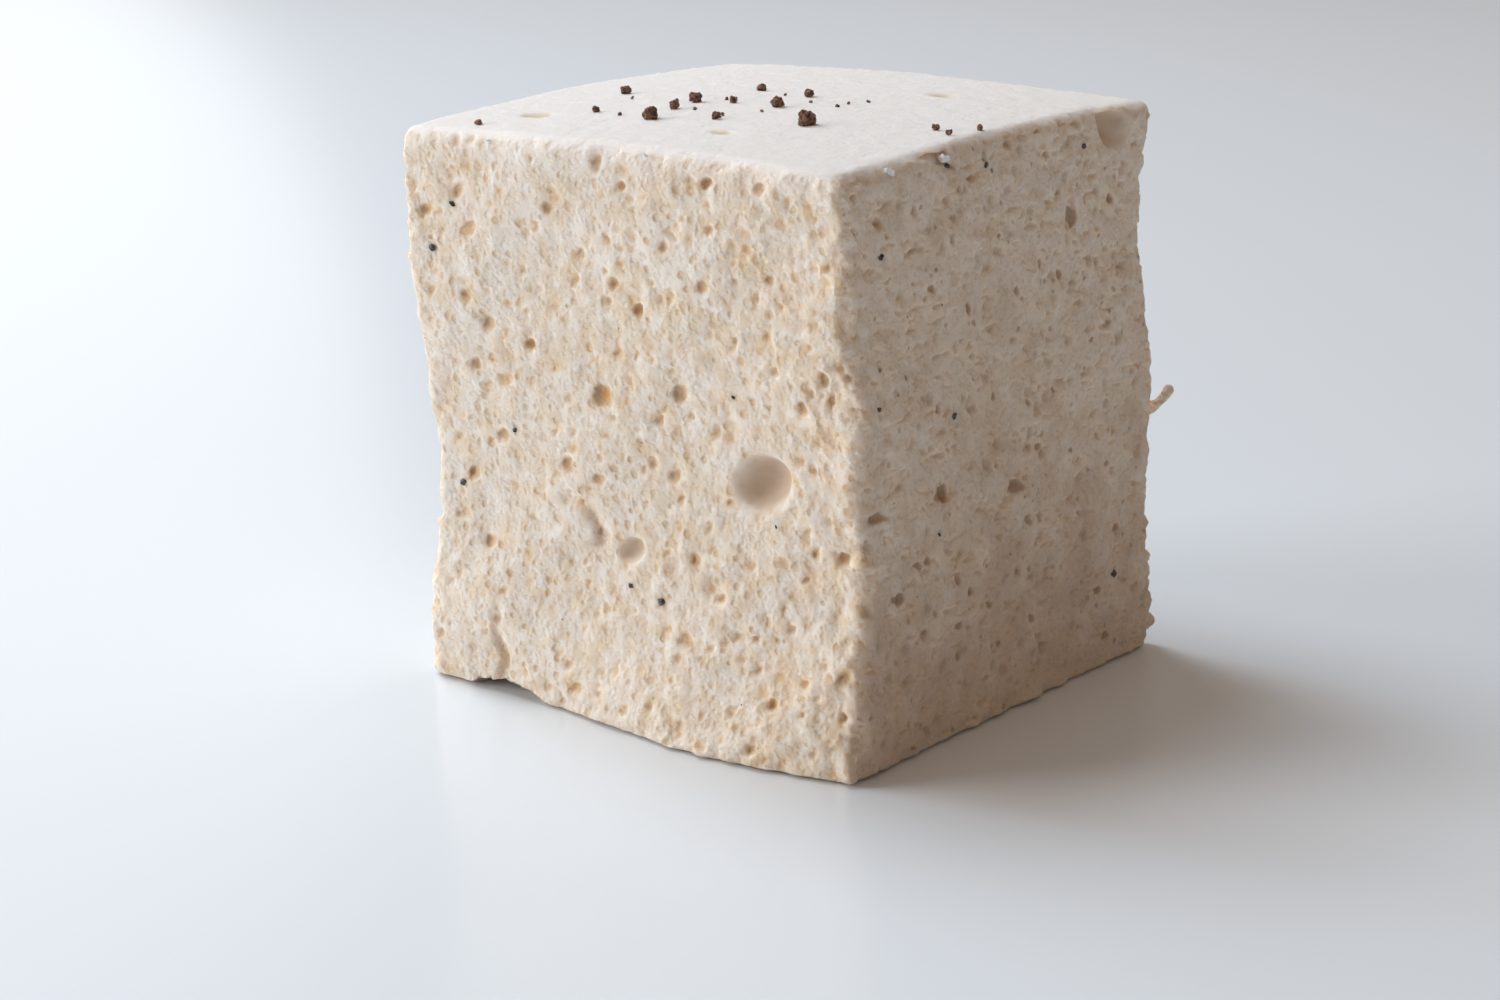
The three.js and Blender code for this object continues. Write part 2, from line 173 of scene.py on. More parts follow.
# Torn crumbs on the upright corners: corner, height, out, half length, half thickness, turn, tilt.
CRUMBS = (
    ((1, 1), 15.7, -0.1, 0.6, 0.45, 0.4, 0.3),
    ((1, 1), 15.9, 0.2, 0.5, 0.36, 0.3, 0.4),
    ((1, 1), 16.1, 0.5, 0.45, 0.31, 0.3, 0.5),
    ((1, 1), 16.35, 0.78, 0.42, 0.31, 0.2, 0.7),
    ((1, 1), 16.6, 1.0, 0.4, 0.33, 0.2, 0.9),
    ((1, 1), 16.85, 1.15, 0.36, 0.35, 0.2, 1.0),
    ((1, 1), 24.7, -0.2, 0.35, 0.4, 0.7, 0.1),
    ((1, 1), 10.6, -0.25, 0.35, 0.4, 0.9, 0.1),
    ((1, 1), 6.0, -0.1, 0.4, 0.4, 0.5, 0.2),
    ((1, 1), 1.6, -0.1, 0.6, 0.6, 0.8, -0.2),
    ((-1, -1), 10.2, -0.2, 0.4, 0.35, 0.6, 0.1),
    ((-1, -1), 27.1, -0.3, 0.45, 0.5, 0.6, 0.2),
    ((1, -1), 13.0, -0.3, 0.8, 0.6, 2.4, 0.4),
    ((-1, 1), 17.0, -0.1, 0.5, 0.4, 2.4, 0.3),
    ((-1, 1), 7.5, -0.1, 0.6, 0.5, 2.4, 0.5),
)

# Coffee grounds on the skin, as (x, y, radius), and the finer ones drawn among them.
COARSE_GROUNDS = (
    (7.2, -6.0, 0.64), (-2.3, -9.0, 0.56), (2.0, -2.5, 0.5), (-3.6, -3.4, 0.46), (-3.2, -5.8, 0.42),
    (-10.4, -2.2, 0.38), (1.4, -7.4, 0.34), (1.2, 1.5, 0.36), (-2.9, 2.0, 0.34), (-1.3, -2.6, 0.3),
    (-7.2, -8.4, 0.28), (14.1, -2.9, 0.28), (16.1, -1.2, 0.25), (15.5, -3.5, 0.23), (-11.9, -13.7, 0.25),
)
FINE_GROUNDS = 12
FINE_GROUND_RADIUS = 0.24
FLAKE_SIZE = 0.6  # of a fine ground, as finished
GROUND_PATCH = {"x": -0.5, "y": -4, "half_width": 8, "half_depth": 6}
GROUND_SEED = 977
GROUND_GAP = 0.35
GROUND_LIFT = 0.55  # of a ground's radius
CRUMB_SEED = 1913
GROUND_CRUMBS = 9
GROUND_GRAIN = 0.05
GROUND_CRUMPLES = ((0.3, 0.28), (0.12, 0.2))  # each the size of the lumps and how far they are pushed
BIT_CRUMPLE = (0.25, 0.3)
BIT_SEED = 511

# Bits of coffee that sit in the cut sides: side, place along it, height, radius.
EMBEDDED = (
    ("front", -13.0, 30.7, 0.2), ("front", -14.7, 27.9, 0.22), ("front", -14.8, 13.0, 0.22),
    ("front", -0.4, 8.8, 0.2), ("front", 2.1, 8.3, 0.25), ("front", -9.6, 17.1, 0.16),
    ("front", 10.7, 14.35, 0.15), ("front", 8.1, 21.5, 0.13),
    ("right", -12.2, 30.1, 0.17), ("right", -6.2, 19.7, 0.22), ("right", -13.5, 21.8, 0.14),
    ("right", -6.5, 26.2, 0.12), ("right", -8.5, 13.3, 0.13), ("right", -10.0, 17.8, 0.12),
    ("right", 10.4, 6.1, 0.25), ("right", 7.9, 33.2, 0.2), ("right", -6.0, 34.1, 0.18),
    ("right", -2.2, 33.5, 0.2),
)

# Specks of icing sugar left on the cut under the skin, in the same way.
SUGAR = (
    ("right", -11.1, 34.7, 0.24), ("right", -6.4, 34.6, 0.26), ("right", -6.0, 34.5, 0.2),
    ("right", -11.5, 34.9, 0.16), ("front", 3.1, 34.8, 0.16), ("front", -9.3, 34.7, 0.14),
)

BLOCK_CELLS = 16  # divisions of the sharp block, halved four times more before it is carved
BLOCK_HALVINGS = 4
BLOCK_TRIANGLES = 190000
PIT_DEEP = 0.62  # of a pit's half height
BOWL_ROUND = 0.65  # the power that rounds out a great bubble's floor
RIM_SOFT = 0.03
RIM_FADE = (1.05, 1.35)  # of a hollow's reach, where it fades out
CARVE_REACH = 1.4  # past that fade
TEAR_UNEVEN = 0.1
TOUCH = 1e-6

# The camera, about the block's own axis.
CAMERA_PLACE = Vector((124.118, -151.038, 66.388))
CAMERA_AZIMUTH = math.radians(40.087)
CAMERA_ELEVATION = math.radians(15.906)
CAMERA_ROLL = math.radians(-1.611)
CAMERA_LENS = 76.9
CAMERA_SENSOR = 36

# Soft lights: name, heading about the block and height, both in degrees, power and colour.
LIGHTS = (
    ("far_window", 155, 12, 0.19, (1, 1, 1)),
    ("side_window", 175, 38, 1.08, (0.82, 1, 1.15)),
    ("high_window", 175, 62, 1.6, (0.88, 1, 1.095)),
    ("near_window", 220, 15, 1.97, (1, 1, 1)),
)
LIGHT_SIZE = 0.34
LIGHT_AWAY = 0.6
LIGHT_TARGET = Vector((0, 0, 0.015))
ROOM = (0.287, 0.232, 0.19, 1)
TABLE_DROP = 0.00002  # under the block's foot, so that the two faces don't fight


def make_random(seed):
    """The same short random sequence on every run, each value from 0 to 1."""
    state = seed
    while True:
        state = (state * 16807) % 2147483647
        yield state / 2147483647


# ---- nodes written as expressions ----


class Wire:
    """A node's output, which can be reckoned with."""

    def __init__(self, net, node, index=0):
        self.net, self.node, self.socket = net, node, node.outputs[index]

    def __getitem__(self, name):
        return Wire(self.net, self.node, name)

    def __add__(self, other):
        return self.net.math("ADD", self, other)

    def __sub__(self, other):
        return self.net.math("SUBTRACT", self, other)

    def __rsub__(self, other):
        return self.net.math("SUBTRACT", other, self)

    def __mul__(self, other):
        return self.net.math("MULTIPLY", self, other)

    def __truediv__(self, other):
        return self.net.math("DIVIDE", self, other)

    def __pow__(self, other):
        return self.net.math("POWER", self, other)

    __radd__ = __add__
    __rmul__ = __mul__


class Net:
    """A node tree, of a material or of Geometry Nodes, built up by calls."""

    def __init__(self, tree):
        self.tree = tree

    def node(self, kind, settings=None, sockets=None, out=0):
        """Adds a node: its settings first, then its sockets by name or number, each a value or a Wire."""
        node = self.tree.nodes.new(kind)
        for name, value in (settings or {}).items():
            setattr(node, name, value)
        for name, value in (sockets or {}).items():
            if isinstance(value, Wire):
                self.tree.links.new(value.socket, node.inputs[name])
            else:
                node.inputs[name].default_value = value
        return Wire(self, node, out) if node.outputs else node

    def math(self, operation, *values):
        return self.node("ShaderNodeMath", {"operation": operation}, dict(enumerate(values)))

    def vector(self, operation, *values):
        return self.node("ShaderNodeVectorMath", {"operation": operation}, dict(enumerate(values)))

    def scaled(self, wire, factor):
        return self.node("ShaderNodeVectorMath", {"operation": "SCALE"}, {"Vector": wire, "Scale": factor})

    def smooth(self, value, low, high):
        """0 below low, 1 above high, smooth between."""
        sockets = {"Value": value, "From Min": low, "From Max": high}
        return self.node("ShaderNodeMapRange", {"interpolation_type": "SMOOTHSTEP"}, sockets)

    def noise(self, place, size, detail=2.0, rough=0.5):
        """Cloudy noise about 0.5, with lumps of about that size."""
        sockets = {"Vector": place, "Scale": 1 / size, "Detail": detail, "Roughness": rough}
        return self.node("ShaderNodeTexNoise", {}, sockets)

    def shove(self, place, size, amount, rough=0.5):
        """A push this way and that, in lumps of about that size."""
        push = self.noise(place, size, 2.0, rough)["Color"]
        return self.scaled(self.vector("SUBTRACT", push, (0.5, 0.5, 0.5)), amount)

    def blend(self, factor, first, second):
        """One colour turning into another."""
        return self.node("ShaderNodeMix", {"data_type": "RGBA"}, {0: factor, 6: first, 7: second}, out=2)

    def clamp(self, value):
        return self.node("ShaderNodeClamp", {}, {"Value": value})

    def bump(self, height, distance, strength=1.0):
        sockets = {"Strength": strength, "Distance": distance, "Height": height}
        return self.node("ShaderNodeBump", {}, sockets)

    def apart(self, vector):
        return self.node("ShaderNodeSeparateXYZ", {}, {0: vector})


# ---- the foam's patterns ----

MOUTH_EDGE = 0.3  # of a mouth's radius, from where it fades
CLOT_STEEP = 1.35


def pores(net, place, cell, small, large, share):
    """Round mouths, one in a share of the cells of a foam: 1 inside a mouth and 0 on the wall between."""
    cells = net.node("ShaderNodeTexVoronoi", {}, {"Vector": place, "Scale": 1 / cell})
    draw = net.apart(cells["Color"])
    radius = small + (large - small) * draw["X"]
    there = net.math("LESS_THAN", draw["Y"], share)
    mouth = 1 - net.smooth(cells["Distance"] * cell, radius * MOUTH_EDGE, radius)
    return mouth * there


def squeezed(net, place, size, turn=0.0):
    """A place measured in lengths of another size along each axis, after a turn about Y."""
    about_y = {"rotation_type": "Y_AXIS"}
    leaning = net.node("ShaderNodeVectorRotate", about_y, {"Vector": place, "Angle": turn})
    return net.vector("MULTIPLY", leaning, tuple(1 / length for length in size))


def clots(net, place, size, turn):
    """Rounded clots with narrow creases between them: 1 on a clot's crown and 0 in a crease."""
    sockets = {"Vector": squeezed(net, place, size, turn), "Scale": 1.0}
    inside = net.node("ShaderNodeTexVoronoi", {}, sockets)
    return 1 - net.clamp((inside["Distance"] * CLOT_STEEP) ** 2)


def foam_patterns(net, place):
    """The broad patterns of torn foam at a place on the block, in mm, each from 0 to 1."""
    uneven = net.vector("ADD", place, net.shove(place, 0.9, 0.5))
    zone = net.noise(place, 6.0, 1.0)
    strand = net.noise(squeezed(net, uneven, (0.8, 0.8, 2.6), math.radians(32)), 1.0, 0.0)
    return {
        "wide": pores(net, uneven, 1.35, 0.25, 0.55, 0.8),
        "clot": clots(net, uneven, (0.95, 0.95, 1.3), math.radians(-20)),
        "slit": net.smooth(net.noise(squeezed(net, uneven, (0.6, 1.2, 0.4)), 1.0, 1.0), 0.58, 0.72),
        "hill": net.noise(uneven, 1.7, 1.0),
        "lump": net.noise(uneven, 0.7, 1.0),
        "strand": 1 - net.smooth(net.math("ABSOLUTE", strand - 0.5), 0.0, 0.07),
        "wild": net.smooth(zone + net.apart(place)["X"] * 0.007, 0.4, 0.58),
        "toffee": net.smooth(net.noise(place, 1.5), 0.48, 0.66),
        "rosy": net.smooth(net.noise(net.vector("ADD", place, (31, 7, 13)), 3.0), 0.5, 0.7),
        "pale": net.smooth(net.noise(place, 0.8, 1.0), 0.36, 0.62),
    }


# ---- the block ----


def lean_at(stations, z):
    """A corner's offset at each height, on a smooth line through its stations."""
    heights, along_x, along_y = np.array(stations, float).T
    upper = np.clip(np.searchsorted(heights, z, "right"), 1, len(heights) - 1)
    share = smoothstep(z, heights[upper - 1], heights[upper])
    lean_x = along_x[upper - 1] + (along_x[upper] - along_x[upper - 1]) * share
    lean_y = along_y[upper - 1] + (along_y[upper] - along_y[upper - 1]) * share
    return lean_x, lean_y


def smoothstep(value, low, high):
    share = np.clip((value - low) / (high - low), 0, 1)
    return share * share * (3 - 2 * share)


def skin_rise(u, v):
    """How far the domed skin stands above its corners."""
    return DOME * (2 - u * u - v * v)


def shaped(box):
    """Where points of the plain box lie on the block, x and y from its axis and z from its underside."""
    x, y, z = box.T
    u = x / (WIDTH / 2)
    v = y / (DEPTH / 2)
    dx = np.zeros_like(x)
    dy = np.zeros_like(y)
    for (right, back), stations in CORNER_LEANS.items():
        lean_x, lean_y = lean_at(stations, z)
        weight = (1 + right * u) * (1 + back * v) / 4
        dx += weight * lean_x
        dy += weight * lean_y
    aside = (x - FLARE["x"]) / FLARE["half_width"]
    flare = FLARE["out"] * np.exp(-(aside**2) - (z / FLARE["height"]) ** 2)
    flare *= smoothstep(-v, 0.2, 1) * (1 - np.abs(u) ** 8)
    rise = smoothstep(z / HEIGHT, DOME_FROM, 1) * skin_rise(u, v)
    wall = np.maximum(np.abs(u), np.abs(v)) ** 4 * smoothstep(z, 0, WAVE_FADE)
    wave = sum(size * np.sin(kx * x + ky * y + kz * z + phase) for size, kx, ky, kz, phase in WAVES)
    wave = wave * wall
    return np.stack([x + dx + wave * u, y + dy - flare + wave * v, z + rise], axis=1)


def rounded(box):
    """Takes points of the sharp box in to its rounded edges."""
    round_z = np.where(box[:, 2] > HEIGHT / 2, TOP_ROUND, FOOT_ROUND)
    round_side = np.full_like(round_z, SIDE_ROUND)
    radii = np.stack([round_side, round_side, round_z], axis=1)
    low = np.array([-WIDTH / 2, -DEPTH / 2, 0]) + radii
    high = np.array([WIDTH / 2, DEPTH / 2, HEIGHT]) - radii
    inset = np.clip(box, low, high)
    out = (box - inset) / radii
    out /= np.maximum(1, np.linalg.norm(out, axis=1))[:, None]
    return inset + out * radii


SIDES = {
    "front": {"axis": 1, "sign": -1, "along": 0, "half": WIDTH / 2},
    "right": {"axis": 0, "sign": 1, "along": 1, "half": DEPTH / 2},
    "back": {"axis": 1, "sign": 1, "along": 0, "half": WIDTH / 2},
    "left": {"axis": 0, "sign": -1, "along": 1, "half": DEPTH / 2},
}
HALVES = (WIDTH / 2, DEPTH / 2)


def side_point(side, along, up):
    """A point of a cut side, before it is carved."""
    facing = SIDES[side]
    box = np.zeros((1, 3))
    box[0, facing["axis"]] = facing["sign"] * HALVES[facing["axis"]]
    box[0, facing["along"]] = along
    box[0, 2] = up
    return Vector(shaped(box)[0])


# The solid's own burst bubbles, which its thrown pores keep clear of: place along, height, reach.
SOLID_BUBBLES = {
    "front": (
        (9.9, 16.6, 2.4), (-2.2, 20.2, 0.85), (-0.6, 11.0, 1.4), (-4.8, 12.0, 1.5), (15.3, 12.9, 1.2),
        (15.9, 6.2, 0.8), (-11.7, 29.2, 1.0), (-10.1, 20.2, 1.0), (7.5, 33.7, 0.6),
        (-4.9, 31.0, 0.5), (-2.6, 28.6, 0.45), (-12.0, 25.2, 0.55), (-10.7, 23.5, 0.55), (-10.7, 16.6, 0.6),
        (-7.6, 22.6, 0.5), (6.8, 27.7, 0.5), (1.6, 25.6, 0.5), (3.8, 21.1, 0.6), (6.5, 19.1, 0.5),
        (11.3, 33.8, 0.5),
    ),
    "right": (
        (11.3, 33.5, 1.5), (6.3, 29.0, 0.75), (-0.2, 14.2, 1.1), (-8.1, 15.6, 0.8), (-12.0, 10.1, 0.6),
        (-14.2, 15.5, 1.1), (-6.8, 34.8, 1.3), (5.7, 25.8, 0.5), (1.0, 25.7, 0.45), (4.2, 19.1, 0.55),
        (-2.0, 20.0, 0.45), (1.0, 11.9, 0.5), (9.0, 5.4, 0.5),
    ),
    "back": (),
    "left": (),
}


def random_pores():
    """Pores thrown at each side, and kept where they miss the ones already there."""
    random = make_random(PORE_SEED)
    found = []
    for side, facing in SIDES.items():
        taken = list(SOLID_BUBBLES[side])
        kept = 0
        for _ in range(PORE_TRIES):
            if kept == PORES[side]:
                break
            along = (next(random) * 2 - 1) * (facing["half"] - PORE_MARGIN)
            up = PORE_MARGIN + next(random) * (HEIGHT - 2 * PORE_MARGIN)
            radius = PORE_SMALL + PORE_SPREAD * next(random) ** 2
            next(random)  # the pore's own turn, which a round mouth doesn't need
            if all(math.hypot(a - along, h - up) > r + radius + PORE_GAP for a, h, r in taken):
                taken.append((along, up, radius))
                made = radius * PORE_SIZE[side]
                found.append((side, along, up, made, made, made * PORE_SUNK))
                kept += 1
    return found


def small_pores(made):
    """Small pores thrown between the bubbles already made."""
    random = make_random(SMALL_SEED)
    found = []
    for side, facing in SIDES.items():
        taken = [(a, up, max(wide, high)) for s, a, up, wide, high, _ in made if s == side]
        for _ in range(SMALL_TRIES[side]):
            along = (next(random) * 2 - 1) * (facing["half"] - SMALL_MARGIN)
            up = SMALL_MARGIN + next(random) * (HEIGHT - 2 * SMALL_MARGIN)
            radius = (SMALL_LEAST + SMALL_SPREAD * next(random) ** 2) * SMALL_SIZE[side]
            tall = radius * (SMALL_TALL_LEAST + SMALL_TALL_SPREAD * next(random))
            if all(math.hypot(a - along, h - up) > r + radius + SMALL_GAP for a, h, r in taken):
                taken.append((along, up, radius))
                found.append((side, along, up, radius, tall, radius * PORE_SUNK))
    return found


def all_tears():
    """Every soft pit and pore of the four sides."""
    made = list(TEARS)
    for pits in (PITS, SMALL_PITS):
        for side, places in pits.items():
            made += [(side, along, up, r, r, r * PORE_SUNK) for along, up, r in places]
    made += random_pores()
    return made + small_pores(made + list(BOWLS))


def softened(reach):
    """1 in the middle of a hollow, curving softly down to 0 outside its rim."""
    inward = 1 - reach**2
    return 0.5 * (inward + np.sqrt(inward**2 + RIM_SOFT)) * (1 - smoothstep(reach, *RIM_FADE))


def tear_depth(reach, wide, high, sunk):
    """How deep a soft pit is at each reach from its middle, 1 at its rim."""
    return PIT_DEEP * (min(wide, high) + max(sunk, 0) * 0.5) * softened(reach)


def bowl_depth(reach, wide, high, sunk):
    """How deep a smooth round bowl is."""
    return (min(wide, high) + sunk) * softened(reach) ** BOWL_ROUND


def carve(box, points, bubbles, profile, uneven):
    """Presses burst bubbles into their sides, and returns how deep each point went."""
    depth = np.zeros(len(points))
    for number, (side, along, up, wide, high, sunk) in enumerate(bubbles):
        facing = SIDES[side]
        on_side = box[:, facing["axis"]] * facing["sign"] > HALVES[facing["axis"]] - TOUCH
        across = (box[:, facing["along"]] - along) / wide
        upward = (box[:, 2] - up) / high
        within = (np.abs(across) < CARVE_REACH) & (np.abs(upward) < CARVE_REACH)
        near = np.nonzero(on_side & within)[0]
        around = np.arctan2(upward[near], across[near])
        bend = np.sin(2 * around + number) + 0.7 * np.sin(3 * around + 2.3 * number)
        bend = bend + 0.4 * np.sin(5 * around)
        lean = BUBBLE_LEAN[side]
        squares = across[near] ** 2 + upward[near] ** 2 - 2 * lean * across[near] * upward[near]
        reach = np.sqrt(squares / (1 - lean**2))
        hole = profile(reach * (1 + uneven * bend), wide, high, sunk)
        deeper = hole > depth[near]
        ids = near[deeper]
        points[ids, facing["axis"]] -= facing["sign"] * (hole[deeper] - depth[ids])
        depth[ids] = hole[deeper]
    return depth


def raise_clot(box, points):
    """Raises the closed bubble on the front, and sinks the groove round its far side."""
    on_front = box[:, 1] < -DEPTH / 2 + TOUCH
    across = (box[:, 0] - CLOSED["along"]) / CLOSED["half_width"]
    upward = (box[:, 2] - CLOSED["up"]) / CLOSED["half_height"]
    reach = np.hypot(across, upward) * (1 + 0.06 * np.sin(3 * np.arctan2(upward, across)))
    crown = CLOSED["rise"] * np.clip(1 - (reach / CLOT_EDGE) ** 2, 0, 1)
    far_side = smoothstep(across + 0.6 * upward, -0.5, 0.5)
    groove = CLOSED["groove"] * np.exp(-(((reach - GROOVE_REACH) / GROOVE_WIDTH) ** 2)) * far_side
    points[on_front, 1] -= (crown - groove)[on_front]
    return groove * on_front


def lens_height(points, centre, half_sizes):
    """How high an ellipsoid stands above its middle at each point, and 0 outside it."""
    across = ((points[:, :2] - np.array(centre)[:2]) / np.array(half_sizes)[:2]) ** 2
    return half_sizes[2] * np.sqrt(np.clip(1 - across.sum(axis=1), 0, 1))


def press_skin(points):
    """Presses the shallow dents into the skin, and returns how deep in one each point is, 0 to 1."""
    on_top = points[:, 2] > HEIGHT - TOP_ROUND
    inside = np.zeros(len(points))
    for x, y, half_length, half_width, deep in SKIN_DENTS:
        across = ((points[:, 0] - x) / half_length) ** 2 + ((points[:, 1] - y) / half_width) ** 2
        hollow = (1 - smoothstep(np.sqrt(across), 0.45, 1.15)) * on_top
        points[:, 2] -= deep * hollow
        inside = np.maximum(inside, hollow)
    return inside


def lift_arch(points):
    """Lifts the arch under the front foot, and presses in the crease above it."""
    roof = lens_height(points, *ARCH)
    under = points[:, 2] < roof
    points[under, 2] = roof[under]
    wander = 0.25 * np.sin(points[:, 2] * 1.9) + 0.1 * points[:, 2]
    across = (points[:, 0] - CREASE["x"] + wander) / CREASE["half_width"]
    upward = (points[:, 2] - CREASE["z"]) / CREASE["half_height"]
    away = across**2 + upward**2
    wall = points[:, 1] < -DEPTH / 2 + CREASE["reach"]
    points[wall, 1] += CREASE["deep"] * np.exp(-away[wall] * 1.5)


def get_points(mesh):
    flat = np.empty(len(mesh.vertices) * 3, np.float32)
    mesh.vertices.foreach_get("co", flat)
    return flat.reshape(-1, 3).astype(float)


def set_points(mesh, points):
    mesh.vertices.foreach_set("co", points.astype(np.float32).ravel())
    mesh.update()


def select_only(piece):
    bpy.ops.object.select_all(action="DESELECT")
    piece.select_set(True)
    bpy.context.view_layer.objects.active = piece


def apply_modifier(piece, kind, **settings):
    """Adds one modifier and applies it."""
    select_only(piece)
    modifier = piece.modifiers.new(kind.lower(), kind)
    for name, value in settings.items():
        setattr(modifier, name, value)
    bpy.ops.object.modifier_apply(modifier=modifier.name)


def sharp_block():
    """A cube cut into fine squares, one unit to a millimetre."""
    bpy.ops.object.select_all(action="DESELECT")
    bpy.ops.mesh.primitive_cube_add(size=2)
    block = bpy.context.object
    block.name = "marshmallow_foam"
    bpy.ops.object.mode_set(mode="EDIT")
    bpy.ops.mesh.select_all(action="SELECT")
    bpy.ops.mesh.subdivide(number_cuts=BLOCK_CELLS - 1)
    bpy.ops.object.mode_set(mode="OBJECT")
    levels = {"levels": BLOCK_HALVINGS, "render_levels": BLOCK_HALVINGS}
    apply_modifier(block, "SUBSURF", subdivision_type="SIMPLE", **levels)
    return block


def shape_block(block):
    """Shapes and carves the sharp block, and keeps on each point how deep in a hollow it is."""
    cube = get_points(block.data)
    box = cube * np.array([WIDTH / 2, DEPTH / 2, HEIGHT / 2]) + np.array([0, 0, HEIGHT / 2])
    points = shaped(rounded(box))
    inside = {
        "bowl": carve(box, points, BOWLS, bowl_depth, 0),
        "pit": carve(box, points, all_tears(), tear_depth, TEAR_UNEVEN),
    }
    inside["pit"] += raise_clot(box, points) * 0.3
    inside["dent"] = press_skin(points)
    lift_arch(points)
    set_points(block.data, points)
    for name, values in inside.items():
        kept = block.data.attributes.new(name, "FLOAT", "POINT")
        kept.data.foreach_set("value", values.astype(np.float32))


def joined_lumps(name, lumps, fineness):
    """One mesh of icospheres, each as (centre, half sizes, turns)."""
    bpy.ops.object.select_all(action="DESELECT")
    bpy.ops.mesh.primitive_ico_sphere_add(subdivisions=fineness, radius=1)
    pattern = bpy.context.object
    corners = get_points(pattern.data)
    faces = np.array([face.vertices for face in pattern.data.polygons])
    bpy.data.objects.remove(pattern)
    points = []
    all_faces = []
    for count, (centre, half_sizes, turns) in enumerate(lumps):
        turn = np.array(Euler(turns, "XYZ").to_matrix())
        points.append((corners * np.array(half_sizes)) @ turn.T + np.array(centre))
        all_faces.append(faces + count * len(corners))
    mesh = bpy.data.meshes.new(name)
    mesh.from_pydata(np.concatenate(points).tolist(), [], np.concatenate(all_faces).tolist())
    piece = bpy.data.objects.new(name, mesh)
    bpy.context.collection.objects.link(piece)
    return piece


def crumb_lumps():
    lumps = []
    for (right, back), z, out, long, thick, turn, tilt in CRUMBS:
        box = np.array([[right * (WIDTH / 2 - CORNER_INSET), back * (DEPTH / 2 - CORNER_INSET), z]])
        centre = shaped(box)[0] + np.array([right, back, 0]) * out * DIAGONAL
        lumps.append((centre, (long, thick, thick), (0, -tilt, turn)))
    return lumps


def add_crumbs(block):
    crumbs = joined_lumps("crumbs", crumb_lumps(), 4)
    apply_modifier(block, "BOOLEAN", operation="UNION", solver="MANIFOLD", object=crumbs)
    bpy.data.objects.remove(crumbs)


def store(net, mesh, name, kind, value):
    """Keeps a value on the points of a mesh under a name."""
    settings = {"data_type": kind, "domain": "POINT"}
    sockets = {"Geometry": mesh, "Name": name, "Value": value}
    return net.node("GeometryNodeStoreNamedAttribute", settings, sockets)


def run_nodes(piece, name, build):
    """Applies one Geometry Nodes modifier, whose nodes build(net, mesh) makes."""
    tree = bpy.data.node_groups.new(name, "GeometryNodeTree")
    tree.interface.new_socket("Geometry", in_out="INPUT", socket_type="NodeSocketGeometry")
    tree.interface.new_socket("Geometry", in_out="OUTPUT", socket_type="NodeSocketGeometry")
    net = Net(tree)
    net.node("NodeGroupOutput", {}, {0: build(net, net.node("NodeGroupInput"))})
    select_only(piece)
    modifier = piece.modifiers.new(name, "NODES")
    modifier.node_group = tree
    bpy.ops.object.modifier_apply(modifier=modifier.name)


